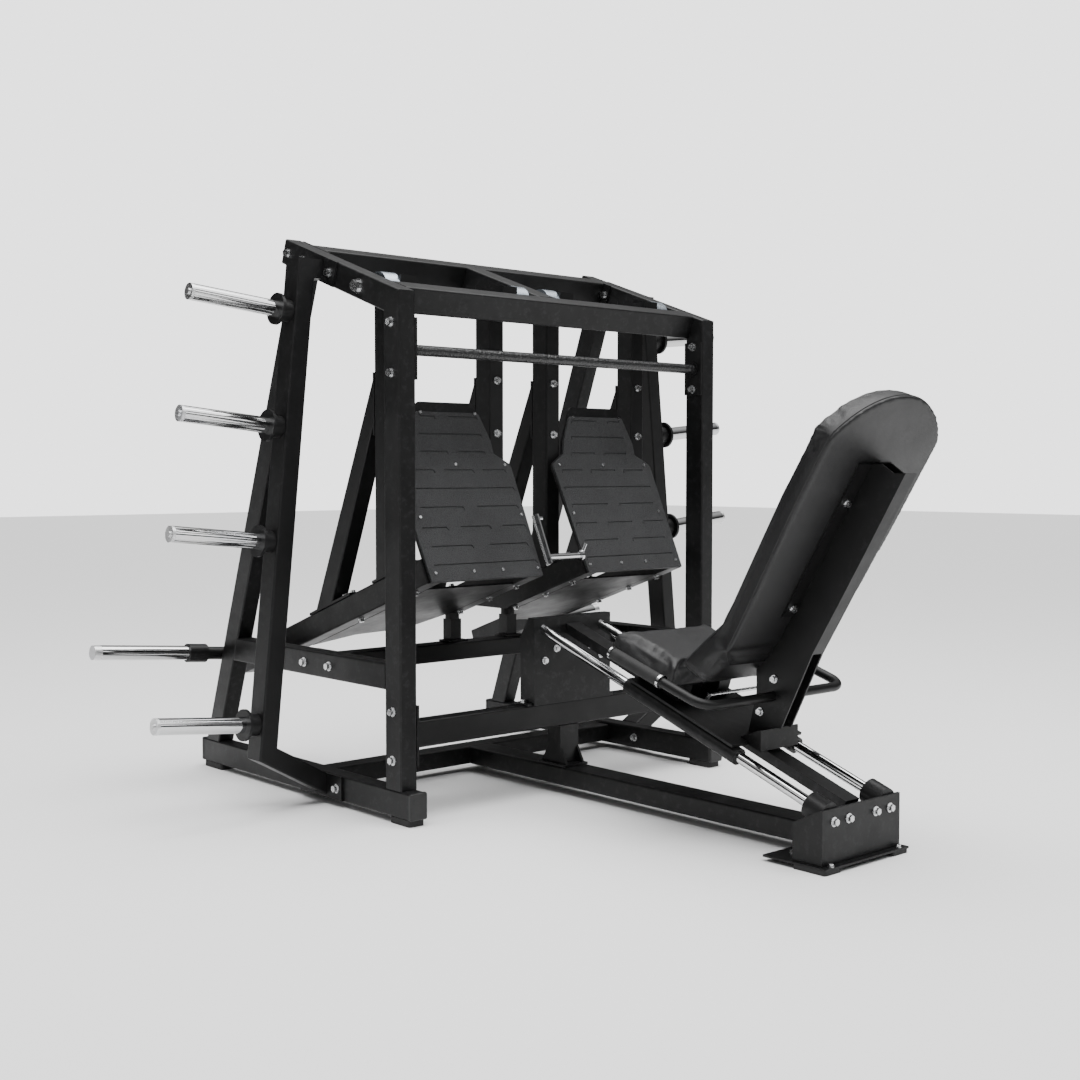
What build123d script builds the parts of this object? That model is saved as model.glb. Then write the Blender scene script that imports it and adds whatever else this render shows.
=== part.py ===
from build123d import *
import math
import os

os.makedirs("parts", exist_ok=True)

# Plate-loaded leg press with two independent levers.
# +X is the width, +Y points from the seat to the weight horns, +Z is up, the floor is Z = 0.
# Profiles are drawn from a datum: the seat-side face of the front uprights.

DATUM = 42.0                 # distance from the middle of the footprint to the datum
SLOPE = math.radians(19.5)   # top bars, lever tubes and guide rods all share this slope
RISE = math.tan(SLOPE)
SLOPE_COS = math.cos(SLOPE)
SLOPE_SIN = math.sin(SLOPE)
TUBE_W = 60                  # frame tube, narrow side
TUBE_D = 80                  # frame tube, wide side
FRAME_IN = 626               # inner face of the side frames
FRAME_OUT = 686              # outer face of the side frames
PLATE = 8                    # end plates and flanges
CORNER = 6                   # corner radius of the tubes
BASE_LOW = 20                # underside of the base bars
BASE_TOP = 100
BAR_TOP = 1580               # height of the top bar over the datum
BAR_LENGTH = 653
LEG_TILT = math.radians(20)
LEG_AT = (944, 489)          # a point on the seat-side edge of the rear leg
PIVOT = (208, 1609)          # lever axis
SHAFT_R = 20
HUB_R = 50
HUB_IN = 42                  # ends of the bearing hubs either side of a lever
HUB_OUT = 615
ARM_IN = (95, 155)           # inner arm, nearest and farthest from the middle
ARM_OUT = (502, 562)
ARM_FRONT = 228
ARM_BACK = 304
LEVER_AT = (24, 716)         # lower front corner of the lever tubes
LEVER_END = 1120
HORN_Y = 1085
HORN_TILT = math.radians(4.8)
PEG_R = 25                   # bars that take 50 mm weight plates
PEG_Y = 425
PEG_TILT = math.radians(5.72)
PEG_HEIGHTS = (273, 833, 1186, 1543)
PEG_LENGTH = 340
SPLAY_TOP = (780, 1706)      # outer top corner of the splayed plate rack
ROD_X = 127
ROD_R = 16
ROD_Z = 547                  # rod axis height over the datum
BACK_TILT = math.radians(31.2)
SIDES = (("left", -1), ("right", 1))


def side_plane(x):
    return Plane(origin=(x, DATUM, 0), x_dir=(0, 1, 0), z_dir=(1, 0, 0))


def front_plane(y):
    return Plane(origin=(0, DATUM + y, 0), x_dir=(1, 0, 0), z_dir=(0, -1, 0))


def floor_plane(z):
    return Plane(origin=(0, DATUM, z), x_dir=(1, 0, 0), z_dir=(0, 0, 1))


def sloped_plane(y, z):
    return Plane(origin=(0, DATUM + y, z), x_dir=(1, 0, 0), z_dir=(0, -SLOPE_SIN, SLOPE_COS))


def falling_plane(y, z):
    return Plane(origin=(0, DATUM + y, z), x_dir=(1, 0, 0), z_dir=(0, SLOPE_SIN, SLOPE_COS))


def prism(plane, points, depth, mode=Mode.ADD):
    with BuildSketch(plane) as outline:
        with BuildLine():
            Polyline(*points, close=True)
        make_face()
    extrude(outline.sketch, amount=depth, mode=mode)


def box(low, high, mode=Mode.ADD):
    corners = [(low[0], low[1]), (high[0], low[1]), (high[0], high[1]), (low[0], high[1])]
    prism(floor_plane(low[2]), corners, high[2] - low[2], mode)


def bar(start, end, radius, mode=Mode.ADD):
    run = Vector(*end) - Vector(*start)
    with BuildSketch(Plane(origin=(start[0], start[1] + DATUM, start[2]), z_dir=run)) as section:
        Circle(radius)
    extrude(section.sketch, amount=run.length, mode=mode)


def bolt(centre, direction, across=17, mode=Mode.ADD):
    seat = Plane(origin=(centre[0], centre[1] + DATUM, centre[2]), z_dir=direction)
    with BuildSketch(seat) as washer:
        Circle(across * 0.78)
    extrude(washer.sketch, amount=2.5, mode=mode)
    with BuildSketch(seat.offset(2.5)) as head:
        RegularPolygon(across * 0.5, 6, major_radius=False)
    extrude(head.sketch, amount=across * 0.6, mode=mode)


def across_frame(low, high):
    """X start of an outline that is extruded towards +X between two distances, per side."""
    return {-1: -high, 1: low}, high - low


def meet(point, rise, other, other_rise):
    """Crossing of two lines in a side view, each given by a point and its rise per run."""
    y = (other[1] - point[1] + rise * point[0] - other_rise * other[0]) / (rise - other_rise)
    return (y, point[1] + rise * (y - point[0]))


# ---- side frames ----

BAR_UNDER = (TUBE_D * SLOPE_SIN, BAR_TOP - TUBE_D * SLOPE_COS)
BAR_END = (BAR_LENGTH * SLOPE_COS, BAR_TOP + BAR_LENGTH * SLOPE_SIN)
BAR_END_UNDER = (BAR_END[0] + BAR_UNDER[0], BAR_END[1] - TUBE_D * SLOPE_COS)
MITRE_INNER = (TUBE_D, BAR_UNDER[1] + (TUBE_D - BAR_UNDER[0]) * RISE)
LEG_RISE = -1 / math.tan(LEG_TILT)
LEG_BACK_AT = (LEG_AT[0] + TUBE_D / math.cos(LEG_TILT), LEG_AT[1])


def leg_front(z):
    return (LEG_AT[0] + (z - LEG_AT[1]) / LEG_RISE, z)


def leg_back(z):
    return (LEG_BACK_AT[0] + (z - LEG_AT[1]) / LEG_RISE, z)


frame_start, frame_width = across_frame(FRAME_IN, FRAME_OUT)

for side, sign in SIDES:
    with BuildPart() as upright:
        prism(side_plane(frame_start[sign]),
              [(0, BASE_TOP), (TUBE_D, BASE_TOP), MITRE_INNER, (0, BAR_TOP)], frame_width)
        fillet(upright.edges().filter_by(Axis.Z), CORNER)
    upright.part.label = f"{side}_upright"
    export_step(upright.part, f"parts/{side}_upright.step")

    with BuildPart() as top_bar:
        prism(side_plane(frame_start[sign]), [(0, BAR_TOP), MITRE_INNER, BAR_END_UNDER, BAR_END], frame_width)
        fillet(top_bar.edges().filter_by(lambda e: e.length > 400), CORNER)
    top_bar.part.label = f"{side}_top_bar"
    export_step(top_bar.part, f"parts/{side}_top_bar.step")

    with BuildPart() as rear_leg:
        prism(side_plane(frame_start[sign]),
              [leg_front(BASE_TOP), leg_back(BASE_TOP), meet(LEG_BACK_AT, LEG_RISE, MITRE_INNER, RISE),
               meet(LEG_AT, LEG_RISE, MITRE_INNER, RISE)], frame_width)
        fillet(rear_leg.edges().filter_by(lambda e: e.length > 400), CORNER)
    rear_leg.part.label = f"{side}_rear_leg"
    export_step(rear_leg.part, f"parts/{side}_rear_leg.step")

    with BuildPart() as base_bar:
        prism(side_plane(frame_start[sign]), [(-38, BASE_LOW), (1194, BASE_LOW), (1194, BASE_TOP), (-38, BASE_TOP)],
              frame_width)
        fillet(base_bar.edges().filter_by(Axis.Y), CORNER)
    base_bar.part.label = f"{side}_base_bar"
    export_step(base_bar.part, f"parts/{side}_base_bar.step")

with BuildPart() as mid_bars:
    for side, sign in SIDES:
        prism(side_plane(frame_start[sign]), [(TUBE_D, 397), leg_front(397), leg_front(477), (TUBE_D, 477)],
              frame_width)
    fillet(mid_bars.edges().filter_by(Axis.Y), CORNER)
mid_bars.part.label = "mid_bars"
export_step(mid_bars.part, "parts/mid_bars.step")

with BuildPart() as base_end_caps:
    for side, sign in SIDES:
        for start, end in ((-38, -50), (1194, 1206)):
            low, high = min(start, end), max(start, end)
            prism(side_plane(frame_start[sign] - 1),
                  [(low, BASE_LOW), (high, BASE_LOW), (high, BASE_TOP + 1), (low, BASE_TOP + 1)], frame_width + 2)
    fillet(base_end_caps.edges().filter_by(Axis.Y), CORNER)
    fillet(base_end_caps.faces().sort_by(Axis.Y)[:2].edges(), 5)
    fillet(base_end_caps.faces().sort_by(Axis.Y)[-2:].edges(), 5)
base_end_caps.part.label = "base_end_caps"
export_step(base_end_caps.part, "parts/base_end_caps.step")

with BuildPart() as rubber_feet:
    for side, sign in SIDES:
        centre = sign * (FRAME_IN + FRAME_OUT) / 2
        for low, high in ((-38, 60), (1072, 1190)):
            box((centre - 28, low, 0), (centre + 28, high, BASE_LOW))
        box((sign * 150 - 35, -1168, 0), (sign * 150 + 35, -1060, 12))
    fillet(rubber_feet.edges().filter_by(Axis.Z), 8)
rubber_feet.part.label = "rubber_feet"
export_step(rubber_feet.part, "parts/rubber_feet.step")

# ---- beams that tie the side frames together ----


def along_bar(distance, depth=0):
    """Point in the side view: a distance up the top bar's slope and a depth below its top face."""
    return (distance * SLOPE_COS + depth * SLOPE_SIN, BAR_TOP + distance * SLOPE_SIN - depth * SLOPE_COS)


FRONT_BEAM = 42 / SLOPE_COS
REAR_BEAM = 492 / SLOPE_COS


def beam_outline(start, end, depth=TUBE_D):
    return [along_bar(start), along_bar(start, depth), along_bar(end, depth), along_bar(end)]


with BuildPart() as front_top_beam:
    prism(side_plane(-FRAME_IN), beam_outline(FRONT_BEAM, FRONT_BEAM + TUBE_D), 2 * FRAME_IN)
    fillet(front_top_beam.edges().filter_by(Axis.X), CORNER)
front_top_beam.part.label = "front_top_beam"
export_step(front_top_beam.part, "parts/front_top_beam.step")

with BuildPart() as rear_top_beam:
    prism(side_plane(-FRAME_IN + PLATE), beam_outline(REAR_BEAM, REAR_BEAM + TUBE_D), 2 * (FRAME_IN - PLATE))
    fillet(rear_top_beam.edges().filter_by(Axis.X), CORNER)
    for x in (-FRAME_IN, FRAME_IN - PLATE):
        prism(side_plane(x), beam_outline(REAR_BEAM - 35, REAR_BEAM + TUBE_D + 45), PLATE)
rear_top_beam.part.label = "rear_top_beam"
export_step(rear_top_beam.part, "parts/rear_top_beam.step")

with BuildPart() as centre_top_beam:
    prism(side_plane(-40), beam_outline(FRONT_BEAM + TUBE_D, REAR_BEAM), 80)
    fillet(centre_top_beam.edges().filter_by(lambda e: e.length > 200), CORNER)
centre_top_beam.part.label = "centre_top_beam"
export_step(centre_top_beam.part, "parts/centre_top_beam.step")

with BuildPart() as handlebar:
    bar((-FRAME_IN + PLATE, 40, 1410), (FRAME_IN - PLATE, 40, 1410), 16.5)
    for x in (-FRAME_IN, FRAME_IN - PLATE):
        prism(side_plane(x), [(2, 1320), (78, 1320), (78, 1503), (2, 1503)], PLATE)
    for sign in (-1, 1):
        bar((sign * (FRAME_IN - PLATE), 40, 1410), (sign * (FRAME_IN - PLATE - 6), 40, 1410), 25)
handlebar.part.label = "handlebar"
export_step(handlebar.part, "parts/handlebar.step")


def crossbeam(beam, low, high, plate_low, plate_high):
    """Tube across the machine with a bolted plate at each end, as (y, z) corners."""
    inner = FRAME_IN - PLATE
    box((-inner, low[0], low[1]), (inner, high[0], high[1]))
    fillet(beam.edges().filter_by(Axis.X), CORNER)
    for x in (-FRAME_IN, inner):
        box((x, plate_low[0], plate_low[1]), (x + PLATE, plate_high[0], plate_high[1]))


with BuildPart() as lower_crossbeam:
    crossbeam(lower_crossbeam, (10, 222), (70, 302), (0, 170), (80, 352))
lower_crossbeam.part.label = "lower_crossbeam"
export_step(lower_crossbeam.part, "parts/lower_crossbeam.step")

with BuildPart() as mid_crossbar:
    crossbeam(mid_crossbar, (413, 407), (493, 467), (361, 399), (545, 475))
mid_crossbar.part.label = "mid_crossbar"
export_step(mid_crossbar.part, "parts/mid_crossbar.step")

with BuildPart() as base_crossbar:
    box((-FRAME_IN, 469, 30), (FRAME_IN, 549, 90))
    fillet(base_crossbar.edges().filter_by(Axis.X), CORNER)
base_crossbar.part.label = "base_crossbar"
export_step(base_crossbar.part, "parts/base_crossbar.step")

with BuildPart() as centre_rail:
    box((-50, -1000, 30), (50, 469, 90))
    fillet(centre_rail.edges().filter_by(Axis.Y), CORNER)
    box((-50, -1000, 18), (50, -960, 30))
    box((-40, 10, 98), (40, 70, 222))
    box((-50, -25, 90), (50, 105, 98))
    for x in (-40, 32):
        prism(side_plane(x), [(70, 98), (100, 98), (70, 150)], PLATE)
        prism(side_plane(x), [(10, 98), (10, 150), (-20, 98)], PLATE)
centre_rail.part.label = "centre_rail"
export_step(centre_rail.part, "parts/centre_rail.step")

# ---- guide for the seat carriage ----


def rod_axis(y, lift=0):
    """Side-view point on the rod axis at y, lifted square to the slope."""
    return (y - lift * SLOPE_SIN, ROD_Z + y * RISE + lift * SLOPE_COS)


HEAD_FACE = -8
FOOT_FACE = -1140

with BuildPart() as guide_head_bracket:
    box((-168, HEAD_FACE, 302), (168, 0, 583))
    for x in (-168, 160):
        prism(side_plane(x), [(0, 302), (60, 302), (60, 520), (20, 583), (0, 583)], PLATE)
    box((-168, 0, 575), (168, 20, 583))
    box((-190, 0, 302), (190, 66, 310))
guide_head_bracket.part.label = "guide_head_bracket"
export_step(guide_head_bracket.part, "parts/guide_head_bracket.step")

with BuildPart() as guide_foot_bracket:
    for x in (-ROD_X, ROD_X):
        bar((x, *rod_axis(-1152)), (x, *rod_axis(-1074)), 36)
        bar((x, *rod_axis(-1112)), (x, *rod_axis(-1030)), ROD_R, Mode.SUBTRACT)
    box((-200, -1250, 0), (200, FOOT_FACE, 300), Mode.SUBTRACT)
    box((-172, FOOT_FACE - PLATE, 18), (172, FOOT_FACE, 166))
    for x in (-172, 164):
        prism(side_plane(x), [(FOOT_FACE, 18), (FOOT_FACE + 90, 18), (FOOT_FACE + 90, 120), (FOOT_FACE, 166)], PLATE)
    box((-185, -1170, 12), (185, -960, 18))
guide_foot_bracket.part.label = "guide_foot_bracket"
export_step(guide_foot_bracket.part, "parts/guide_foot_bracket.step")

with BuildPart() as guide_rods:
    for x in (-ROD_X, ROD_X):
        bar((x, *rod_axis(-1112)), (x, *rod_axis(20)), ROD_R)
    box((-200, HEAD_FACE, 300), (200, 80, 700), Mode.SUBTRACT)
guide_rods.part.label = "guide_rods"
export_step(guide_rods.part, "parts/guide_rods.step")

LOCK_LIFT = 13               # top of the lock bar over the rod axis
LOCK_DEPTH = 30
HOLE_PITCH = 50

with BuildPart() as lock_bar:
    prism(side_plane(-30), [rod_axis(HEAD_FACE, LOCK_LIFT - LOCK_DEPTH), (HEAD_FACE, rod_axis(HEAD_FACE)[1] + 13.8),
                            rod_axis(-1112, LOCK_LIFT), rod_axis(-1112, LOCK_LIFT - LOCK_DEPTH)], 60)
    box((-60, HEAD_FACE, 300), (60, 80, 700), Mode.SUBTRACT)
    with BuildSketch(sloped_plane(*rod_axis(-560, LOCK_LIFT))) as holes:
        with GridLocations(1, HOLE_PITCH, 1, 19):
            Circle(8)
    extrude(holes.sketch, amount=-LOCK_DEPTH, mode=Mode.SUBTRACT)
lock_bar.part.label = "lock_bar"
export_step(lock_bar.part, "parts/lock_bar.step")

# ---- plate rack beside each side frame ----

SPLAY = math.tan(PEG_TILT)


def rack_outer(z):
    return SPLAY_TOP[0] + SPLAY * (SPLAY_TOP[1] - z)


def rack_inner(z):
    return rack_outer(z) - TUBE_W / math.cos(PEG_TILT)


FOOT_RISE = math.tan(math.radians(29.5))


def rack_foot(x, drop=0):
    """Height of the sloping foot tube at a distance x from the middle."""
    return BASE_TOP - drop + FOOT_RISE * (x - FRAME_OUT - PLATE)


FOOT_DROP = TUBE_W / math.cos(math.radians(29.5))
FOOT_INNER_X = (rack_inner(0) - SPLAY * (BASE_TOP - FOOT_RISE * (FRAME_OUT + PLATE))) / (1 + SPLAY * FOOT_RISE)
FOOT_OUTER_X = (rack_outer(0) - SPLAY * (BASE_TOP - FOOT_DROP - FOOT_RISE * (FRAME_OUT + PLATE))) / (
    1 + SPLAY * FOOT_RISE)

for side, sign in SIDES:
    outline = [
        (FRAME_OUT + PLATE, SPLAY_TOP[1]),
        SPLAY_TOP,
        (FOOT_OUTER_X, rack_foot(FOOT_OUTER_X, FOOT_DROP)),
        (FRAME_OUT + PLATE, rack_foot(FRAME_OUT + PLATE, FOOT_DROP)),
        (FRAME_OUT + PLATE, BASE_TOP),
        (FOOT_INNER_X, rack_foot(FOOT_INNER_X)),
        (rack_inner(SPLAY_TOP[1] - TUBE_W), SPLAY_TOP[1] - TUBE_W),
        (FRAME_OUT + PLATE, SPLAY_TOP[1] - TUBE_W),
    ]
    plate_start = min(sign * FRAME_OUT, sign * (FRAME_OUT + PLATE))
    with BuildPart() as peg_frame:
        prism(front_plane(PEG_Y + TUBE_D / 2), [(sign * x, z) for x, z in outline], TUBE_D)
        fillet(peg_frame.edges().filter_by(lambda e: e.length > 95), CORNER)
        prism(side_plane(plate_start), beam_outline(330, 575, 78), PLATE)
        prism(side_plane(plate_start), [(305, 22), (540, 22), (540, 98), (305, 98)], PLATE)
    peg_frame.part.label = f"{side}_peg_frame"
    export_step(peg_frame.part, f"parts/{side}_peg_frame.step")


def peg_point(sign, height, distance):
    """Point on a storage peg's axis, at a distance from the rack's outer face."""
    x = rack_outer(height) + distance * math.cos(PEG_TILT)
    return (sign * x, PEG_Y, height + distance * math.sin(PEG_TILT))


with BuildPart() as peg_sleeves:
    for side, sign in SIDES:
        for height in PEG_HEIGHTS:
            bar(peg_point(sign, height, 47), peg_point(sign, height, PEG_LENGTH - 10), PEG_R)
peg_sleeves.part.label = "peg_sleeves"
export_step(peg_sleeves.part, "parts/peg_sleeves.step")

with BuildPart() as peg_collars:
    for side, sign in SIDES:
        for height in PEG_HEIGHTS:
            bar(peg_point(sign, height, 0), peg_point(sign, height, 37), 34)
            bar(peg_point(sign, height, 37), peg_point(sign, height, 47), 49)
peg_collars.part.label = "peg_collars"
export_step(peg_collars.part, "parts/peg_collars.step")

with BuildPart() as peg_end_caps:
    for side, sign in SIDES:
        for height in PEG_HEIGHTS:
            bar(peg_point(sign, height, PEG_LENGTH - 10), peg_point(sign, height, PEG_LENGTH), PEG_R)
            bar(peg_point(sign, height, PEG_LENGTH), peg_point(sign, height, PEG_LENGTH + 4), 9)
peg_end_caps.part.label = "peg_end_caps"
export_step(peg_end_caps.part, "parts/peg_end_caps.step")

# ---- levers ----

BUSH_GAP = 0.05
HEAD = (160, 1553, 1650)     # front face, underside and top of the block that carries the shaft


def lever_low(y):
    return LEVER_AT[1] - RISE * (y - LEVER_AT[0])


def lever_top(y):
    return lever_low(y) + TUBE_D / SLOPE_COS


FOOT_PROFILE = ((24, 717), (190, 1063), (209, 1108), (231, 1241))
PAD_THICK = 8
BACKING = 6
PAD_TOP = 1241
BACKING_TOP = 1272
GROOVE_R = 2.6
TREAD_ROWS = (               # height of each row and its runs, outer end to inner end
    (1225, ((440, 386), (328, 213))),
    (1169, ((452, 202),)),
    (1113, ((455, 349), (303, 195))),
    (1054, ((516, 422), (378, 263), (221, 128))),
    (996, ((527, 115),)),
    (938, ((513, 348), (289, 124))),
    (876, ((530, 435), (378, 263), (209, 115))),
    (819, ((513, 357), (283, 131))),
    (764, ((525, 115),)),
)
PLATE_LEAN = math.atan2(190 - 24, 1063 - 717)


def foot_face(z):
    """Y of the footplate's face at a height, with the lean of the face there."""
    for (y0, z0), (y1, z1) in zip(FOOT_PROFILE[:-1], FOOT_PROFILE[1:]):
        if z <= z1:
            break
    return y0 + (y1 - y0) * (z - z0) / (z1 - z0), math.atan2(y1 - y0, z1 - z0)


def screw(x, z):
    """Button-headed screw standing on the face of the footplate."""
    y, lean = foot_face(z)
    bar((x, y, z), (x, y - 3 * math.cos(lean), z + 3 * math.sin(lean)), 5)


def groove(start, end, z):
    """Half-round groove across the tread, hooked down at its second end."""
    y = foot_face(z)[0]
    hook = z - 9
    bar((start, y, z), (end, y, z), GROOVE_R, Mode.SUBTRACT)
    bar((end, y, z), (end + math.copysign(5, end - start), foot_face(hook)[0], hook), GROOVE_R, Mode.SUBTRACT)


def behind(offset, rise=0):
    """Front profile of the footplate moved back square to each face, lower edge to upper."""
    moved = []
    for (y0, z0), (y1, z1) in zip(FOOT_PROFILE[:-1], FOOT_PROFILE[1:]):
        length = math.hypot(y1 - y0, z1 - z0)
        shift = (offset * (z1 - z0) / length, -offset * (y1 - y0) / length)
        moved.append(((y0 + shift[0], z0 + shift[1]), (y1 + shift[0], z1 + shift[1])))
    joints = []
    for (a0, a1), (b0, b1) in zip(moved[:-1], moved[1:]):
        joints.append(meet(a0, (a1[1] - a0[1]) / (a1[0] - a0[0]), b0, (b1[1] - b0[1]) / (b1[0] - b0[0])))
    (y0, z0), (y1, z1) = moved[-1]
    return [moved[0][0], *joints, (y1 + rise * (y1 - y0) / (z1 - z0), z1 + rise)]


SKIN = PAD_THICK + BACKING
TUBE_NOSE = [
    meet((behind(SKIN)[0]), 1 / math.tan(PLATE_LEAN), LEVER_AT, -RISE),
    meet((behind(SKIN)[0]), 1 / math.tan(PLATE_LEAN), (LEVER_AT[0], lever_top(LEVER_AT[0])), -RISE),
]
SOLE = PLATE / SLOPE_COS
BRACE_FOOT = (448, 686)
BRACE_HEAD = (1163, 1360)
PLATE_MIDDLE = 328


def plate_outline(sign, inset, top):
    """Outline of the footplate seen from the seat, narrowing above its bend."""
    taper = 0.455 * (top - 1150)
    half = [(100, 700), (552, 700), (563, 1063), (558, 1075), (502, 1108), (497, 1150), (497 - taper, top),
            (160 + taper, top), (160, 1150), (153, 1108), (98, 1075), (93, 1063)]
    points = []
    for x, z in half:
        edge = inset if x < PLATE_MIDDLE else -inset
        points.append((sign * (x + edge), z))
    return points


for side, sign in SIDES:
    inner_start, arm_width = across_frame(*ARM_IN)
    outer_start, arm_width = across_frame(*ARM_OUT)
    starts = (inner_start[sign], outer_start[sign])

    with BuildPart() as arms:
        for x in starts:
            prism(side_plane(x), [(ARM_FRONT, lever_top(ARM_FRONT) + SOLE), (ARM_BACK, lever_top(ARM_BACK) + SOLE),
                                  (ARM_BACK, 1665), (ARM_FRONT, 1665)], arm_width)
        fillet(arms.edges().filter_by(Axis.Z), CORNER)
        for x in starts:
            prism(side_plane(x), [(HEAD[0], HEAD[1]), (ARM_FRONT + CORNER, HEAD[1]),
                                  (ARM_FRONT + CORNER, HEAD[2]), (HEAD[0], HEAD[2])], arm_width)
            prism(side_plane(x), [(110, lever_top(110)), (322, lever_top(322)),
                                  (322, lever_top(322) + SOLE), (110, lever_top(110) + SOLE)], arm_width)
        bar((sign * 90, *PIVOT), (sign * 570, *PIVOT), SHAFT_R + BUSH_GAP, Mode.SUBTRACT)
    arms.part.label = f"{side}_press_arms"
    export_step(arms.part, f"parts/{side}_press_arms.step")

    with BuildPart() as hubs:
        for low, high in ((HUB_IN, ARM_IN[0]), (ARM_OUT[1], HUB_OUT)):
            bar((sign * low, *PIVOT), (sign * high, *PIVOT), HUB_R)
        bar((sign * 40, *PIVOT), (sign * 620, *PIVOT), SHAFT_R + BUSH_GAP, Mode.SUBTRACT)
    hubs.part.label = f"{side}_pivot_hubs"
    export_step(hubs.part, f"parts/{side}_pivot_hubs.step")

    with BuildPart() as braces:
        for x in starts:
            prism(side_plane(x), [(ARM_BACK + PLATE, 1200), (ARM_BACK + PLATE, 1345),
                                  (648, lever_top(648) + SOLE), (550, lever_top(550) + SOLE)], arm_width)
        fillet(braces.edges().filter_by(lambda e: e.length > 400), CORNER)
        for x in starts:
            prism(side_plane(x), [(ARM_BACK, BRACE_HEAD[0]), (ARM_BACK + PLATE, BRACE_HEAD[0]),
                                  (ARM_BACK + PLATE, BRACE_HEAD[1]), (ARM_BACK, BRACE_HEAD[1])], arm_width)
            prism(side_plane(x), [(y, lever_top(y) + lift) for y, lift in (
                (BRACE_FOOT[0], 0), (BRACE_FOOT[1], 0), (BRACE_FOOT[1], SOLE), (BRACE_FOOT[0], SOLE))], arm_width)
    braces.part.label = f"{side}_braces"
    export_step(braces.part, f"parts/{side}_braces.step")

    with BuildPart() as lever_tubes:
        prism(side_plane(starts[0]), [TUBE_NOSE[0], (450, lever_low(450)),
                                      (450 + TUBE_D / SLOPE_SIN, lever_low(450)), TUBE_NOSE[1]], arm_width)
        prism(side_plane(starts[1]), [TUBE_NOSE[0], (LEVER_END, lever_low(LEVER_END)),
                                      (LEVER_END + TUBE_D * SLOPE_SIN, lever_low(LEVER_END) + TUBE_D * SLOPE_COS),
                                      TUBE_NOSE[1]], arm_width)
        fillet(lever_tubes.edges().filter_by(lambda e: e.length > 380), CORNER)
    lever_tubes.part.label = f"{side}_lever_tubes"
    export_step(lever_tubes.part, f"parts/{side}_lever_tubes.step")

    with BuildPart() as gusset_pan:
        corners = ((502, 110), (502, 760), (400, 655), (290, 636), (194, 573), (155, 447), (155, 110))
        prism(falling_plane(*LEVER_AT), [(sign * x, (y - LEVER_AT[0]) / SLOPE_COS) for x, y in corners], 6)
    gusset_pan.part.label = f"{side}_gusset_pan"
    export_step(gusset_pan.part, f"parts/{side}_gusset_pan.step")

    with BuildPart() as backing_plate:
        rise = BACKING_TOP - PAD_TOP
        prism(side_plane(min(sign * 80, sign * 580)), [*behind(PAD_THICK, rise), *reversed(behind(SKIN, rise))], 500)
        with BuildSketch(front_plane(400)) as outline:
            with BuildLine():
                Polyline(*plate_outline(sign, 0, BACKING_TOP - 1), close=True)
            make_face()
            fillet(outline.vertices().sort_by(Axis.Y)[-2:], 22)
            fillet(outline.vertices().filter_by_position(Axis.Y, 690, 1160), 8)
        extrude(outline.sketch, amount=500, mode=Mode.INTERSECT)
    backing_plate.part.label = f"{side}_backing_plate"
    export_step(backing_plate.part, f"parts/{side}_backing_plate.step")

    with BuildPart() as foot_pad:
        prism(side_plane(min(sign * 80, sign * 580)), [*behind(0), *reversed(behind(PAD_THICK))], 500)
        with BuildSketch(front_plane(400)) as outline:
            with BuildLine():
                Polyline(*plate_outline(sign, 2, PAD_TOP - 2), close=True)
            make_face()
            fillet(outline.vertices().sort_by(Axis.Y)[-2:], 18)
            fillet(outline.vertices().filter_by_position(Axis.Y, 690, 1160), 8)
        extrude(outline.sketch, amount=500, mode=Mode.INTERSECT)
        for z, runs in TREAD_ROWS:
            for start, end in runs:
                groove(sign * start, sign * end, z)
    foot_pad.part.label = f"{side}_foot_pad"
    export_step(foot_pad.part, f"parts/{side}_foot_pad.step")

    def horn_point(distance):
        reach = ARM_OUT[1] + distance * math.cos(HORN_TILT)
        return (sign * reach, HORN_Y, 403 + distance * math.sin(HORN_TILT))

    with BuildPart() as horn_rod:
        bar(horn_point(2), horn_point(175), 22.5)
        bar(horn_point(175), horn_point(244), 32)
        box((min(sign * 562, sign * 572), 1046, 370), (max(sign * 562, sign * 572), 1124, 425))
    horn_rod.part.label = f"{side}_horn_rod"
    export_step(horn_rod.part, f"parts/{side}_horn_rod.step")

    with BuildPart() as horn_sleeve:
        bar(horn_point(244), horn_point(562), PEG_R)
        bar(horn_point(562), horn_point(588), PEG_R - 0.5)
    horn_sleeve.part.label = f"{side}_horn_sleeve"
    export_step(horn_sleeve.part, f"parts/{side}_horn_sleeve.step")

    with BuildPart() as lever_bolts:
        for x in (sign * 125, sign * 532):
            for z in (1348, 1175):
                bolt((x, ARM_FRONT, z), (0, -1, 0))
            for y in (150, 200, 470, 515, 668):
                bolt((x, y, lever_top(y) + SOLE), (0, SLOPE_SIN, SLOPE_COS), 15)
            for y in (132, 268, 425):
                bolt((x, y, lever_low(y)), (0, -SLOPE_SIN, -SLOPE_COS), 15)
        for x, z in ((116, 741), (262, 741), (379, 741), (528, 741), (116, 909), (525, 909),
                     (121, 1072), (326, 1072), (531, 1072), (218, 1237), (438, 1237)):
            screw(sign * x, z)
    lever_bolts.part.label = f"{side}_lever_bolts"
    export_step(lever_bolts.part, f"parts/{side}_lever_bolts.step")

with BuildPart() as pivot_shafts:
    for side, sign in SIDES:
        bar((sign * 40, *PIVOT), (sign * FRAME_IN, *PIVOT), SHAFT_R)
pivot_shafts.part.label = "pivot_shafts"
export_step(pivot_shafts.part, "parts/pivot_shafts.step")

with BuildPart() as rest_stops:
    for side, sign in SIDES:
        box((sign * 125 - 22, 448, 467), (sign * 125 + 22, 492, 544))
        box((sign * 125 - 40, 433, 467), (sign * 125 + 40, 493, 473))
        bar((sign * 125, 470, 544), (sign * 125, 470, 564.9), 24)
rest_stops.part.label = "rest_stops"
export_step(rest_stops.part, "parts/rest_stops.step")

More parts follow.
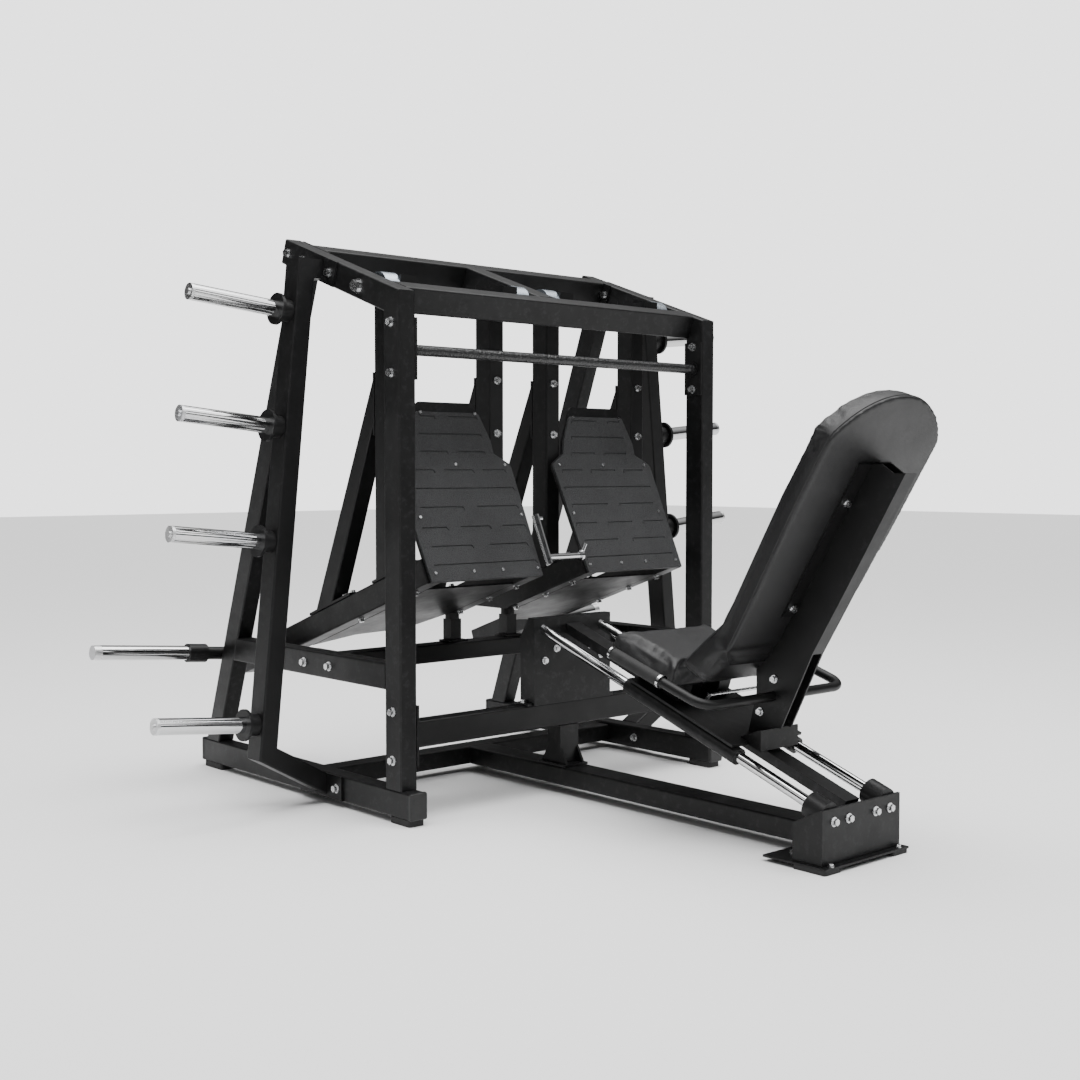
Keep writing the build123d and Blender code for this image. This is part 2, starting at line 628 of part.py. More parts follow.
with BuildPart() as frame_bolts:
    for side, sign in SIDES:
        for y, z in ((40, 1488), (40, 1339), (40, 335), (40, 189), along_bar(REAR_BEAM + 104, 40),
                     (381, 437), (525, 437)):
            bolt((sign * FRAME_OUT, y, z), (sign, 0, 0), 19)
            bolt((sign * (FRAME_IN - PLATE), y, z), (-sign, 0, 0), 19)
        bolt((sign * (FRAME_IN - PLATE), *along_bar(REAR_BEAM - 17, 40)), (-sign, 0, 0), 19)
        bolt((sign * FRAME_OUT, *PIVOT), (sign, 0, 0), 30)
        for y, z in ((355, 1663), (505, 1716), (331, 59), (497, 59)):
            bolt((sign * (FRAME_OUT + PLATE), y, z), (sign, 0, 0), 19)
        bolt((sign * FRAME_IN, 331, 59), (-sign, 0, 0), 19)
        bolt((sign * 179, 33, 310), (0, 0, 1), 13)
        bolt((sign * 119, -1010, 18), (0, 0, 1), 13)
        bolt((sign * 150, -1160, 18), (0, 0, 1), 11)
        for x in (124, 60):
            bolt((sign * x, FOOT_FACE - PLATE, 131), (0, -1, 0))
    for x, z in ((-124, 445), (-74, 480), (74, 480), (124, 445)):
        bolt((x, HEAD_FACE, z), (0, -1, 0), 15)
frame_bolts.part.label = "frame_bolts"
export_step(frame_bolts.part, "parts/frame_bolts.step")

# ---- latch that ties the two footplates together ----

LATCH_X = -89
LATCH_LOW = (13, 749)
LATCH_HIGH = (87, 905)

with BuildPart() as coupling_latch:
    bar((LATCH_X, *LATCH_LOW), (LATCH_X, *LATCH_HIGH), 6)
    prism(side_plane(LATCH_X - 3), [(LATCH_LOW[0] - 18, LATCH_LOW[1] + 8), (LATCH_LOW[0] + 4, LATCH_LOW[1]),
                                    LATCH_HIGH, (LATCH_HIGH[0] - 22, LATCH_HIGH[1] + 8)], 6)
    bar((LATCH_X, 14, 775), (58, 14, 775), 10)
    bar((50, 14, 775), (58, 14, 775), 17)
    bar((54, 14, 775), (74, 14, 812), 7)
    bar((LATCH_X, 77, 897), (-62, 77, 897), 7)
    bar((LATCH_X, LATCH_LOW[0] - 1, LATCH_LOW[1] - 2), (LATCH_X, LATCH_HIGH[0] + 1, LATCH_HIGH[1] + 2), 3.1,
        Mode.SUBTRACT)
coupling_latch.part.label = "coupling_latch"
export_step(coupling_latch.part, "parts/coupling_latch.step")

# ---- seat carriage ----

with BuildPart() as carriage_sleeves:
    for x in (-ROD_X, ROD_X):
        bar((x, *rod_axis(-825)), (x, *rod_axis(-392)), 25)
        bar((x, *rod_axis(-830)), (x, *rod_axis(-385)), ROD_R + 0.3, Mode.SUBTRACT)
carriage_sleeves.part.label = "carriage_sleeves"
export_step(carriage_sleeves.part, "parts/carriage_sleeves.step")

SEAT_LIFT = 169              # seat surface over the rod axis
SEAT_THICK = 72
DECK = (25, 33)              # carriage deck on top of the sleeves
PIN_Y = -580
LIP_FRONT = -859             # upright lip across the carriage's rear end


def sloped_block(x_low, x_high, y_low, y_high, lift_low, lift_high):
    prism(side_plane(x_low), [rod_axis(y_low, lift_low), rod_axis(y_high, lift_low),
                              rod_axis(y_high, lift_high), rod_axis(y_low, lift_high)], x_high - x_low)


with BuildPart() as carriage_frame:
    sloped_block(-152, 152, -812, -405, *DECK)
    for x in (-110, 60):
        sloped_block(x, x + 50, -470, -405, DECK[1], SEAT_LIFT - SEAT_THICK)
        sloped_block(x, x + 50, -562, -505, DECK[1], SEAT_LIFT - SEAT_THICK)
    bar((0, *rod_axis(PIN_Y, 20)), (0, *rod_axis(PIN_Y, 40)), 9, Mode.SUBTRACT)
    sloped_block(-82, 82, -852, -812, *DECK)
    prism(front_plane(LIP_FRONT), [(-82, 270), (82, 270), (82, 328), (-82, 328)], 6)
    for x in (-82, 76):
        prism(side_plane(x), [(LIP_FRONT, 277.5), (LIP_FRONT, 328), (-790, 302)], 6)
carriage_frame.part.label = "carriage_frame"
export_step(carriage_frame.part, "parts/carriage_frame.step")

with BuildPart() as lock_pin:
    bar((0, *rod_axis(PIN_Y, LOCK_LIFT + 0.5)), (0, *rod_axis(PIN_Y, 58)), 7.5)
    bar((0, *rod_axis(PIN_Y, 50)), (250, *rod_axis(PIN_Y, 50)), 6)
    bar((250, *rod_axis(PIN_Y, 50)), (285, *rod_axis(PIN_Y, 50)), 14)
lock_pin.part.label = "lock_pin"
export_step(lock_pin.part, "parts/lock_pin.step")

with BuildPart() as seat_pad:
    sloped_block(-206, 206, -599, -344, SEAT_LIFT - SEAT_THICK, SEAT_LIFT)
    fillet(seat_pad.edges().filter_by(lambda e: e.length > 60), 18)
seat_pad.part.label = "seat_pad"
export_step(seat_pad.part, "parts/seat_pad.step")

BACK_AT = (-895, 600)        # a point on the rear face of the backrest
BACK_THICK = 83
BACK_TOP = 750
LUMBAR_REAR = (-878.6, 573)  # the pad bends forward here, rear and front faces
LUMBAR_FRONT = (-816, 630)
BACK_FOOT_REAR = (-744, 449)
BACK_FOOT_FRONT = (-661, 499)
back_plane = Plane(origin=(0, DATUM + BACK_AT[0], BACK_AT[1]), x_dir=(1, 0, 0),
                   z_dir=(0, -math.cos(BACK_TILT), -math.sin(BACK_TILT)))

def on_back(height, depth=0):
    """Side-view point at a height along the backrest's slope and a depth in front of its rear face."""
    return (BACK_AT[0] - height * math.sin(BACK_TILT) + depth * math.cos(BACK_TILT),
            BACK_AT[1] + height * math.cos(BACK_TILT) + depth * math.sin(BACK_TILT))


with BuildPart() as backrest_pad:
    prism(side_plane(-260), [on_back(BACK_TOP + 10), LUMBAR_REAR, BACK_FOOT_REAR, BACK_FOOT_FRONT, LUMBAR_FRONT,
                             on_back(BACK_TOP + 10, BACK_THICK)], 520)
    with BuildSketch(back_plane) as outline:
        with BuildLine():
            Polyline((-238, 620), (-240, 400), (-225, 60), (-225, -207), (225, -207), (225, 60), (240, 400), (238, 620))
            ThreePointArc((238, 620), (0, BACK_TOP), (-238, 620))
        make_face()
        fillet(outline.vertices().sort_by(Axis.Y)[:2], 45)
        fillet(outline.vertices().sort_by(Axis.Y)[-2:], 60)
    extrude(outline.sketch, amount=-170, mode=Mode.INTERSECT)
    front = backrest_pad.faces().filter_by(lambda f: f.normal_at().Y > 0.6 and f.area > 5000)
    fillet([e for e in front.edges() if abs(e.tangent_at(0.5).X) < 0.999 or e.length < 440], 14)
backrest_pad.part.label = "backrest_pad"
export_step(backrest_pad.part, "parts/backrest_pad.step")


def behind_back(z, gap=0):
    """Side-view point on the backrest's rear face at height z, moved back square to it."""
    y = BACK_AT[0] - (z - BACK_AT[1]) * math.tan(BACK_TILT)
    return (y - gap / math.cos(BACK_TILT), z)


HANDLE_PATH = ((-307, -503, 531), (-307, -857, 417.6), (307, -857, 417.6), (307, -503, 531))
WEB_TOP = 1069
WEB_REAR = [(-1290, 1045), (-1157, 818), (-1071, 674), (-995, 548)]
WEB = [behind_back(WEB_TOP), (-1216, WEB_TOP), (-1251, 1045), *WEB_REAR, (-961, 478), (-889, 331), (LIP_FRONT + 0.2, 331),
       (LIP_FRONT + 0.2, 278.6), (-772, 309), (-800, 420), (-800, 500.3), (-878.9, 572.8)]

with BuildPart() as back_spine:
    for x in (-25, 19):
        prism(side_plane(x), WEB, 6)
    for x in (-75, 19):
        prism(side_plane(x), [behind_back(650), behind_back(650, 6), behind_back(WEB_TOP, 6), behind_back(WEB_TOP)], 56)
    prism(side_plane(-19), [*WEB_REAR, (-988, 552), (-1064, 678), (-1150, 822), (-1281, 1045)], 38)
    bar((-40, *HANDLE_PATH[1][1:]), (40, *HANDLE_PATH[1][1:]), 14.1, Mode.SUBTRACT)
    sides = ((-25, -1), (25, 1))
    for x, sign in sides:
        for y, z in ((-865, 468), (-815, 370)):
            bolt((x, y, z), (sign, 0, 0), 15)
        for z in (966, 674):
            bolt((x * 2, *behind_back(z, 6)), (0, -math.cos(BACK_TILT), -math.sin(BACK_TILT)), 15)
back_spine.part.label = "back_spine"
export_step(back_spine.part, "parts/back_spine.step")

with BuildPart() as grip_handles:
    with BuildLine() as route:
        FilletPolyline(*[(x, y + DATUM, z) for x, y, z in HANDLE_PATH], radius=55)
    with BuildSketch(Plane(origin=route.line @ 0, z_dir=route.line % 0)):
        Circle(14)
    sweep(path=route.line)
    for x in (-307, 307):
        for y, z in ((-503, 531), (-692, 470.5)):
            bar((x, y, z), (x, y - 8, z - 2.56), 20)
grip_handles.part.label = "grip_handles"
export_step(grip_handles.part, "parts/grip_handles.step")

with BuildPart() as hand_grips:
    for x in (-307, 307):
        bar((x, -692, 470.5), (x, -511, 528.44), 18)
        bar((x, -695, 469.5), (x, -505, 530.4), 14.1, Mode.SUBTRACT)
hand_grips.part.label = "hand_grips"
export_step(hand_grips.part, "parts/hand_grips.step")
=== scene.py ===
import math

import bmesh
import bpy
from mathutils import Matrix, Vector


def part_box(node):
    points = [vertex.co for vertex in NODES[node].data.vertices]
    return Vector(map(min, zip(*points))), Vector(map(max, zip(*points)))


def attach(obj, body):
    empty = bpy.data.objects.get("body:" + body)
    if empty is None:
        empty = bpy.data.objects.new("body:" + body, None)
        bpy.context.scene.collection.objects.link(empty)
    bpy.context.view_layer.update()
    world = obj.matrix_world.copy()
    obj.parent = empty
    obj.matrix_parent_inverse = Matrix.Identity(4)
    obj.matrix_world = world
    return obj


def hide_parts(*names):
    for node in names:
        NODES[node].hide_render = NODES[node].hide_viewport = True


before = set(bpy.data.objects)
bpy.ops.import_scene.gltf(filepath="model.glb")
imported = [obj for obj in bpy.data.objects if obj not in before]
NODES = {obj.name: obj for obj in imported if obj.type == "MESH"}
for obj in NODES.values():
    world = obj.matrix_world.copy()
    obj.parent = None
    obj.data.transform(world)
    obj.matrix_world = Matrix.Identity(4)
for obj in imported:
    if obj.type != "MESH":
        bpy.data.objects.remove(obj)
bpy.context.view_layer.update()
SLOPE = math.radians(19.5)
RECLINE = math.radians(31.2)
DATUM = 0.042                            # y of the seat-side face of the front uprights
BACK_POINT = Vector((0, -0.895 + DATUM, 0.6))    # a point on the backrest's rear face
BACK_OUT = Vector((0, math.cos(RECLINE), math.sin(RECLINE))).normalized()
SEAT_OUT = Vector((0, -math.sin(SLOPE), math.cos(SLOPE))).normalized()


# ---------- materials ----------

def material(name, colour, rough, metallic=0.0, specular=0.5):
    """A material with its node tree, its shader and a point to read coordinates from."""
    mat = bpy.data.materials.new(name)
    mat.use_nodes = True
    tree = mat.node_tree
    shader = tree.nodes["Principled BSDF"]
    shader.inputs["Base Color"].default_value = (*colour, 1)
    shader.inputs["Roughness"].default_value = rough
    shader.inputs["Metallic"].default_value = metallic
    shader.inputs["Specular IOR Level"].default_value = specular
    coords = tree.nodes.new("ShaderNodeTexCoord")
    return mat, tree, shader, coords.outputs["Object"]


def noise(tree, coords, scale, detail=4.0, rough=0.55, stretch=None):
    node = tree.nodes.new("ShaderNodeTexNoise")
    node.inputs["Scale"].default_value = scale
    node.inputs["Detail"].default_value = detail
    node.inputs["Roughness"].default_value = rough
    if stretch:
        mapping = tree.nodes.new("ShaderNodeMapping")
        mapping.inputs["Scale"].default_value = stretch
        tree.links.new(coords, mapping.inputs["Vector"])
        coords = mapping.outputs["Vector"]
    tree.links.new(coords, node.inputs["Vector"])
    return node.outputs["Fac"]


def cells(tree, coords, scale, feature="F1", randomness=1.0):
    node = tree.nodes.new("ShaderNodeTexVoronoi")
    node.feature = feature
    node.inputs["Scale"].default_value = scale
    node.inputs["Randomness"].default_value = randomness
    tree.links.new(coords, node.inputs["Vector"])
    return node.outputs["Distance"]


def ramp(tree, value, stops):
    node = tree.nodes.new("ShaderNodeValToRGB")
    while len(node.color_ramp.elements) < len(stops):
        node.color_ramp.elements.new(0.5)
    for element, (place, colour) in zip(node.color_ramp.elements, stops):
        element.position = place
        element.color = (*colour, 1) if len(colour) == 3 else (colour[0], colour[0], colour[0], 1)
    tree.links.new(value, node.inputs["Fac"])
    return node.outputs["Color"]


def blended(tree, amount, one, two, mode="MIX"):
    node = tree.nodes.new("ShaderNodeMix")
    node.data_type = "RGBA"
    node.blend_type = mode
    for socket, value in ((node.inputs[0], amount), (node.inputs[6], one), (node.inputs[7], two)):
        if hasattr(value, "node"):
            tree.links.new(value, socket)
        elif isinstance(value, tuple):
            socket.default_value = (*value, 1)
        else:
            socket.default_value = value
    return node.outputs[2]


def bumped(tree, shader, height, strength, distance):
    node = tree.nodes.new("ShaderNodeBump")
    node.inputs["Strength"].default_value = strength
    node.inputs["Distance"].default_value = distance
    tree.links.new(height, node.inputs["Height"])
    previous = shader.inputs["Normal"].links
    if previous:
        tree.links.new(previous[0].from_socket, node.inputs["Normal"])
    tree.links.new(node.outputs["Normal"], shader.inputs["Normal"])


def paint(name="satin_powder_coat", tone=0.0055, rough=0.4):
    mat, tree, shader, at = material(name, (tone, tone, tone), rough, specular=0.24)
    cloud = noise(tree, at, 3.2, 3.0)
    tint = ramp(tree, cloud, ((0.3, (tone * 0.75,) * 3), (0.7, (tone * 1.35, tone * 1.36, tone * 1.42))))
    geometry = tree.nodes.new("ShaderNodeNewGeometry")
    edge = ramp(tree, geometry.outputs["Pointiness"], ((0.515, (0.0,)), (0.58, (0.3,))))
    scuff = ramp(tree, noise(tree, at, 46, 6.0, 0.7), ((0.52, (0.0,)), (0.66, (1.0,))))
    worn = blended(tree, 1.0, edge, scuff, "MULTIPLY")
    tree.links.new(blended(tree, worn, tint, (0.035, 0.035, 0.037)), shader.inputs["Base Color"])
    gloss = ramp(tree, noise(tree, at, 14, 5.0, 0.6), ((0.3, (rough - 0.05,)), (0.75, (rough + 0.09,))))
    tree.links.new(gloss, shader.inputs["Roughness"])
    bumped(tree, shader, noise(tree, at, 420, 2.0), 0.12, 0.0006)
    bumped(tree, shader, noise(tree, at, 110, 3.0), 0.07, 0.001)
    return mat


def hammered():
    mat, tree, shader, at = material("knurled_bar", (0.014, 0.014, 0.015), 0.3, specular=0.5)
    dents = cells(tree, at, 150, "SMOOTH_F1", 0.7)
    bumped(tree, shader, dents, 0.8, 0.003)
    tint = ramp(tree, dents, ((0.1, (0.03, 0.03, 0.031)), (0.5, (0.006, 0.006, 0.0064))))
    tree.links.new(tint, shader.inputs["Base Color"])
    return mat


def chrome(name="chrome", tone=0.62, rough=0.06):
    mat, tree, shader, at = material(name, (tone, tone, tone), rough, metallic=1.0)
    smear = noise(tree, at, 9, 5.0, 0.6)
    gloss = ramp(tree, smear, ((0.3, (rough * 0.8,)), (0.8, (rough * 2.2,))))
    tree.links.new(gloss, shader.inputs["Roughness"])
    tint = ramp(tree, noise(tree, at, 5, 3.0),
                ((0.3, (tone * 0.94, tone * 0.95, tone * 0.98)),
                 (0.7, (tone * 1.03, tone * 1.03, tone * 1.02))))
    tree.links.new(tint, shader.inputs["Base Color"])
    bumped(tree, shader, noise(tree, at, 300, 3.0, 0.6, (0.06, 1, 1)), 0.03, 0.0004)
    return mat


def zinc():
    mat, tree, shader, at = material("bright_zinc", (0.62, 0.63, 0.64), 0.24, metallic=1.0)
    patch = noise(tree, at, 150, 4.0)
    tree.links.new(ramp(tree, patch, ((0.3, (0.17,)), (0.75, (0.38,)))), shader.inputs["Roughness"])
    tint = ramp(tree, patch, ((0.25, (0.5, 0.505, 0.51)), (0.8, (0.72, 0.725, 0.73))))
    tree.links.new(tint, shader.inputs["Base Color"])
    bumped(tree, shader, noise(tree, at, 900, 2.0), 0.1, 0.0003)
    return mat


def machined():
    mat, tree, shader, at = material("machined_steel", (0.42, 0.47, 0.52), 0.3, metallic=1.0)
    turned = noise(tree, at, 60, 3.0, 0.5, (14, 1, 1))
    tree.links.new(ramp(tree, turned, ((0.3, (0.22,)), (0.75, (0.4,)))), shader.inputs["Roughness"])
    tint = ramp(tree, turned, ((0.3, (0.34, 0.38, 0.43)), (0.8, (0.5, 0.55, 0.6))))
    tree.links.new(tint, shader.inputs["Base Color"])
    bumped(tree, shader, turned, 0.12, 0.0004)
    return mat


def vinyl():
    mat, tree, shader, at = material("upholstery_vinyl", (0.01, 0.01, 0.0105), 0.4, specular=0.36)
    grain = cells(tree, at, 620, "DISTANCE_TO_EDGE")
    pebble = ramp(tree, grain, ((0.02, (0.0,)), (0.16, (1.0,))))
    creases = noise(tree, at, 26, 5.0, 0.6)
    bumped(tree, shader, creases, 0.22, 0.004)
    bumped(tree, shader, pebble, 0.3, 0.0005)
    tint = blended(tree, pebble, (0.004, 0.004, 0.0043), (0.011, 0.011, 0.0115))
    tree.links.new(tint, shader.inputs["Base Color"])
    gloss = ramp(tree, noise(tree, at, 7, 4.0), ((0.3, (0.32,)), (0.75, (0.47,))))
    tree.links.new(gloss, shader.inputs["Roughness"])
    return mat


def tread():
    mat, tree, shader, at = material("granular_tread", (0.028, 0.029, 0.03), 0.62, specular=0.4)
    grit = cells(tree, at, 430)
    fine = noise(tree, at, 1300, 2.0)
    speck = ramp(tree, grit, ((0.1, (0.06, 0.061, 0.063)), (0.4, (0.022, 0.0225, 0.0235)),
                              (0.85, (0.007, 0.007, 0.0075))))
    cloud = ramp(tree, noise(tree, at, 6, 3.0), ((0.3, (0.014, 0.014, 0.015)), (0.75, (0.042, 0.043, 0.045))))
    tree.links.new(blended(tree, 0.35, speck, cloud), shader.inputs["Base Color"])
    bumped(tree, shader, fine, 0.3, 0.0006)
    bumped(tree, shader, grit, 0.85, 0.0022)
    return mat


def rubber(name, tone=0.012, rough=0.62, scale=260):
    mat, tree, shader, at = material(name, (tone, tone, tone), rough, specular=0.35)
    dust = noise(tree, at, 22, 5.0, 0.65)
    tint = ramp(tree, dust, ((0.35, (tone * 0.8,) * 3), (0.8, (tone * 2.0,) * 3)))
    gloss = ramp(tree, dust, ((0.3, (rough - 0.1,)), (0.8, (rough + 0.12,))))
    tree.links.new(tint, shader.inputs["Base Color"])
    tree.links.new(gloss, shader.inputs["Roughness"])
    bumped(tree, shader, noise(tree, at, scale, 3.0), 0.25, 0.0008)
    return mat


PAINT = paint()
HAMMERED = hammered()
CHROME = chrome()
ZINC = zinc()
MACHINED = machined()
VINYL = vinyl()
TREAD = tread()
GRIP = rubber("grip_foam", 0.012, 0.7, 620)
FOOT = rubber("foot_rubber", 0.014, 0.66)
PLASTIC = rubber("moulded_plastic", 0.012, 0.42, 480)
PALE = chrome("pale_satin_cap", 0.72, 0.28)

FINISHES = (
    (CHROME, ("guide_rods", "peg_sleeves", "coupling_latch", "left_horn_sleeve", "right_horn_sleeve")),
    (ZINC, ("frame_bolts", "left_lever_bolts", "right_lever_bolts", "lock_pin")),
    (MACHINED, ("pivot_shafts", "left_pivot_hubs", "right_pivot_hubs")),
    (TREAD, ("left_foot_pad", "right_foot_pad")),
    (GRIP, ("hand_grips",)),
    (FOOT, ("rubber_feet",)),
    (PLASTIC, ("base_end_caps",)),
    (PALE, ("peg_end_caps",)),
    (HAMMERED, ("handlebar",)),
)


def finish_node(obj, *mats):
    obj.data.materials.clear()
    for mat in mats:
        obj.data.materials.append(mat)


for obj in NODES.values():
    finish_node(obj, PAINT)
for mat, names in FINISHES:
    for name in names:
        finish_node(NODES[name], mat)


def second_finish(name, mat, wanted):
    """Gives the faces whose middle passes a test a second material."""
    obj = NODES[name]
    obj.data.materials.append(mat)
    for face in obj.data.polygons:
        if wanted(face.center):
            face.material_index = 1


HORN_CAP = 0.0268            # length of a weight horn's pale end
BAR_MOUNT = 0.0145           # bracket plate and flange at each end of the handlebar
STOP_PAD = 0.0212            # height of the rubber on a rest stop
RING_LENGTH = 0.0095
RING_LAP = 0.006
WEB_SIDE = 0.0255            # just outside the spine's web plates
WEB_BOLT_END = 0.0375
WEB_BOLT_RISE = 0.24
FLANGE_BOLT_X = 0.05
FLANGE_BOLT_REACH = 0.0125
FLANGE_BACK = 0.0064         # just behind the spine's flanges

horn_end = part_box("right_horn_sleeve")[1].x
for side in ("left", "right"):
    second_finish(f"{side}_horn_sleeve", PALE, lambda c: abs(c.x) > horn_end - HORN_CAP)
bar_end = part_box("handlebar")[1].x
second_finish("handlebar", PAINT, lambda c: abs(c.x) > bar_end - BAR_MOUNT)
stop_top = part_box("rest_stops")[1].z
second_finish("rest_stops", FOOT, lambda c: c.z > stop_top - STOP_PAD)
grip_low, grip_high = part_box("hand_grips")
spine_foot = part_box("back_spine")[0].z


def on_ring(c):
    """The collars just outside each end of a hand grip, and the short end of tube beyond the front one."""
    return c.y > grip_high.y - RING_LAP or grip_low.y - RING_LENGTH < c.y < grip_low.y + RING_LAP


def on_spine_bolt(c):
    """The bolt heads on the spine: beside the web, and standing behind the two flanges."""
    if WEB_SIDE < abs(c.x) < WEB_BOLT_END and c.z < spine_foot + WEB_BOLT_RISE:
        return True
    behind = (BACK_POINT - c).dot(BACK_OUT)
    return abs(abs(c.x) - FLANGE_BOLT_X) < FLANGE_BOLT_REACH and behind > FLANGE_BACK


second_finish("grip_handles", CHROME, on_ring)
second_finish("back_spine", ZINC, on_spine_bolt)

# ---------- cushions ----------

PAD_VOXEL = 0.006
BOARD_DEPTH = 0.006          # the part of a pad that its board holds still
DEFLATE = 0.006              # how far the cover shrinks before it is blown up
CLOTH_FRAMES = 20
SEAM_POINTS = 110
SMOOTHING_PASSES = 2
PUFF = 0.012                 # farthest that the cover may move
SEAM_RADIUS = 0.0022


def cut_loop(mesh, point, normal):
    """Closed loop of points where a plane cuts a mesh."""
    bm = bmesh.new()
    bm.from_mesh(mesh)
    everything = bm.verts[:] + bm.edges[:] + bm.faces[:]
    cut = bmesh.ops.bisect_plane(bm, geom=everything, plane_co=point, plane_no=normal)
    edges = [g for g in cut["geom_cut"] if isinstance(g, bmesh.types.BMEdge)]
    joined = {}
    for e in edges:
        for a, b in ((e.verts[0], e.verts[1]), (e.verts[1], e.verts[0])):
            joined.setdefault(a, []).append(b)
    start = next(iter(joined))
    loop, before, now = [start.co.copy()], None, start
    while True:
        onward = [v for v in joined[now] if v is not before]
        if not onward or onward[0] is start:
            break
        before, now = now, onward[0]
        loop.append(now.co.copy())
    bm.free()
    return loop


def piping(name, points, radius, mat, body):
    curve = bpy.data.curves.new(name, "CURVE")
    curve.dimensions = "3D"
    curve.bevel_depth = radius
    curve.bevel_resolution = 3
    step = max(1, len(points) // SEAM_POINTS)
    kept = points[::step]
    spline = curve.splines.new("NURBS")
    spline.points.add(len(kept) - 1)
    for p, co in zip(spline.points, kept):
        p.co = (*co, 1)
    spline.order_u = 4
    spline.use_cyclic_u = True
    obj = bpy.data.objects.new(name, curve)
    bpy.context.scene.collection.objects.link(obj)
    obj.data.materials.append(mat)
    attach(obj, body)
    return obj


def cushion(node, name, normal, body):
    """Upholstered pad: the CAD solid remeshed and inflated as cloth, held flat on its board side."""
    source = NODES[node]
    obj = bpy.data.objects.new(name, source.data.copy())
    bpy.context.scene.collection.objects.link(obj)
    bpy.context.view_layer.objects.active = obj
    remesh = obj.modifiers.new("remesh", "REMESH")
    remesh.mode = "VOXEL"
    remesh.voxel_size = PAD_VOXEL
    bpy.context.view_layer.update()
    depsgraph = bpy.context.evaluated_depsgraph_get()
    mesh = bpy.data.meshes.new_from_object(obj.evaluated_get(depsgraph))
    obj.modifiers.clear()
    obj.data = mesh
    heights = [v.co.dot(normal) for v in mesh.vertices]
    floor, top = min(heights), max(heights)
    held = [i for i, h in enumerate(heights) if h < floor + BOARD_DEPTH]
    rest = [v.co.copy() for v in mesh.vertices]
    normals = [v.normal.copy() for v in mesh.vertices]
    for i, v in enumerate(mesh.vertices):
        rise = min(1.0, (heights[i] - floor) / (top - floor))
        v.co = rest[i] - normals[i] * DEFLATE * min(1.0, rise * 3)
    group = obj.vertex_groups.new(name="board")
    group.add(held, 1.0, "REPLACE")
    cloth = obj.modifiers.new("cloth", "CLOTH")
    cloth.settings.quality = 5
    cloth.settings.mass = 0.3
    cloth.settings.tension_stiffness = 12
    cloth.settings.compression_stiffness = 12
    cloth.settings.shear_stiffness = 6
    cloth.settings.bending_stiffness = 0.6
    cloth.settings.use_pressure = True
    cloth.settings.uniform_pressure_force = 4
    cloth.settings.vertex_group_mass = "board"
    cloth.settings.effector_weights.gravity = 0
    cloth.collision_settings.use_collision = False
    cloth.point_cache.frame_start = 1
    cloth.point_cache.frame_end = CLOTH_FRAMES
    for number in range(1, CLOTH_FRAMES + 1):
        bpy.context.scene.frame_set(number)
    depsgraph = bpy.context.evaluated_depsgraph_get()
    blown = [v.co.copy() for v in obj.evaluated_get(depsgraph).data.vertices]
    obj.modifiers.clear()
    bpy.context.scene.frame_set(1)
    for i, v in enumerate(mesh.vertices):
        move = blown[i] - v.co
        if move.length > PUFF:
            move *= PUFF / move.length
        v.co = v.co + move
    for _ in range(SMOOTHING_PASSES):
        bm = bmesh.new()
        bm.from_mesh(mesh)
        bmesh.ops.smooth_vert(
            bm, verts=bm.verts[:], factor=0.5, use_axis_x=True, use_axis_y=True, use_axis_z=True)
        bm.to_mesh(mesh)
        bm.free()
    for face in mesh.polygons:
        face.use_smooth = True
    sub = obj.modifiers.new("subdivision", "SUBSURF")
    sub.levels = 1
    sub.render_levels = 1
    mesh.materials.clear()
    mesh.materials.append(VINYL)
    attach(obj, body)
    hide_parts(node)
    return obj, floor


seat, seat_board = cushion("seat_pad", "seat_cushion", SEAT_OUT, "seat_carriage")
back, back_board = cushion("backrest_pad", "backrest_cushion", BACK_OUT, "seat_carriage")
for pad, board, out, name, offset in ((seat, seat_board, SEAT_OUT, "seat_seam", 0.014),
                                      (back, back_board, BACK_OUT, "backrest_seam", 0.012)):
    loop = cut_loop(pad.data, out * (board + offset), out)
    piping(name, loop, SEAM_RADIUS, VINYL, "seat_carriage")

# ---------- floor, light and camera ----------

floor_mesh = bpy.data.meshes.new("studio_floor")
HALF = 30
corners = [(-HALF, -HALF, 0), (HALF, -HALF, 0), (HALF, HALF, 0), (-HALF, HALF, 0)]
floor_mesh.from_pydata(corners, [], [(0, 1, 2, 3)])
floor = bpy.data.objects.new("studio_floor", floor_mesh)
bpy.context.scene.collection.objects.link(floor)
floor_mesh.materials.append(material("pale_floor", (0.86, 0.86, 0.86), 0.9, specular=0.1)[0])

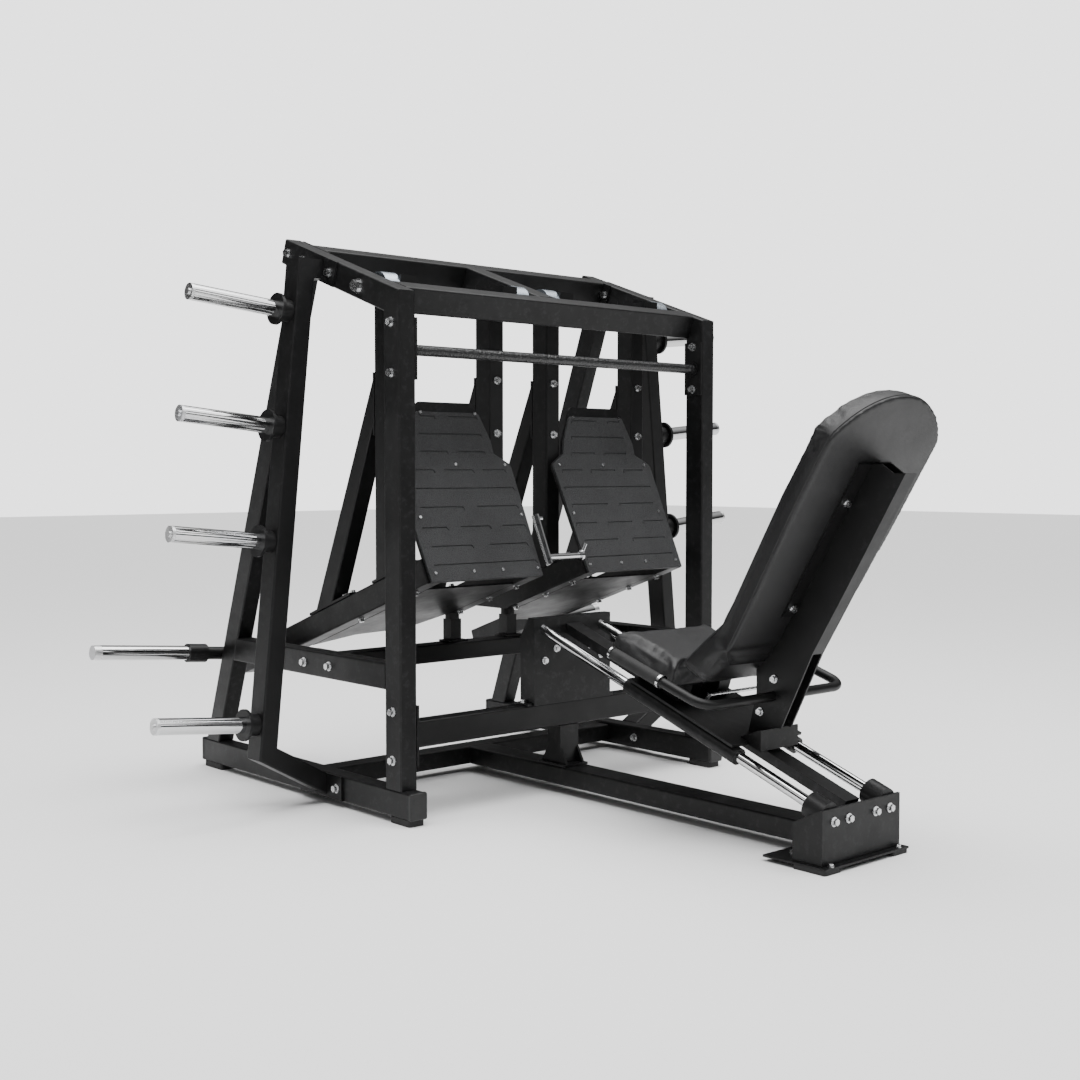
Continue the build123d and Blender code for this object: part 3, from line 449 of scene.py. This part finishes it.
world = bpy.data.worlds.new("studio")
world.use_nodes = True
sky = world.node_tree
backdrop = sky.nodes["Background"]
backdrop.inputs["Color"].default_value = (0.97, 0.97, 0.975, 1)
backdrop.inputs["Strength"].default_value = 2.6
room = sky.nodes.new("ShaderNodeBackground")
direction = sky.nodes.new("ShaderNodeSeparateXYZ")
sky.links.new(sky.nodes.new("ShaderNodeTexCoord").outputs["Generated"], direction.inputs["Vector"])
walls = ramp(sky, direction.outputs["Z"], ((0.02, (0.05,)), (0.3, (0.05,)), (0.62, (0.4,)), (0.9, (0.8,))))
sky.links.new(walls, room.inputs["Color"])
seen = sky.nodes.new("ShaderNodeLightPath")
choice = sky.nodes.new("ShaderNodeMixShader")
sky.links.new(seen.outputs["Is Camera Ray"], choice.inputs["Fac"])
sky.links.new(room.outputs["Background"], choice.inputs[1])
sky.links.new(backdrop.outputs["Background"], choice.inputs[2])
sky.links.new(choice.outputs["Shader"], sky.nodes["World Output"].inputs["Surface"])
bpy.context.scene.world = world


def area(name, place, target, width, height, power):
    light = bpy.data.lights.new(name, "AREA")
    light.shape = "RECTANGLE"
    light.size = width
    light.size_y = height
    light.energy = power
    obj = bpy.data.objects.new(name, light)
    bpy.context.scene.collection.objects.link(obj)
    obj.location = place
    obj.rotation_euler = (Vector(target) - Vector(place)).to_track_quat("-Z", "Y").to_euler()


sun = bpy.data.lights.new("ceiling", "SUN")
sun.energy = 3.4
sun.angle = math.radians(70)
sun_object = bpy.data.objects.new("ceiling", sun)
bpy.context.scene.collection.objects.link(sun_object)
sun_object.rotation_euler = (math.radians(8), 0, 0)
area("overhead", (0, -0.4, 4.6), (0, 0, 0.8), 5.5, 5.5, 240)
area("left_side", (-4.6, 0.2, 2.4), (0, 0, 0.9), 1.4, 3.0, 22)
area("front", (1.6, -5.2, 3.0), (0, -0.3, 0.8), 2.2, 1.6, 26)

YAW = math.radians(41.51)
PITCH = math.radians(2.688)
camera_data = bpy.data.cameras.new("camera")
camera_data.sensor_width = 36
camera_data.lens = 48.397
camera_data.clip_end = 100
camera = bpy.data.objects.new("camera", camera_data)
bpy.context.scene.collection.objects.link(camera)
camera.location = (-3.1997, -3.4605 + DATUM, 1.0482)
camera.rotation_euler = (math.pi / 2 - PITCH, 0, -YAW)
bpy.context.scene.camera = camera
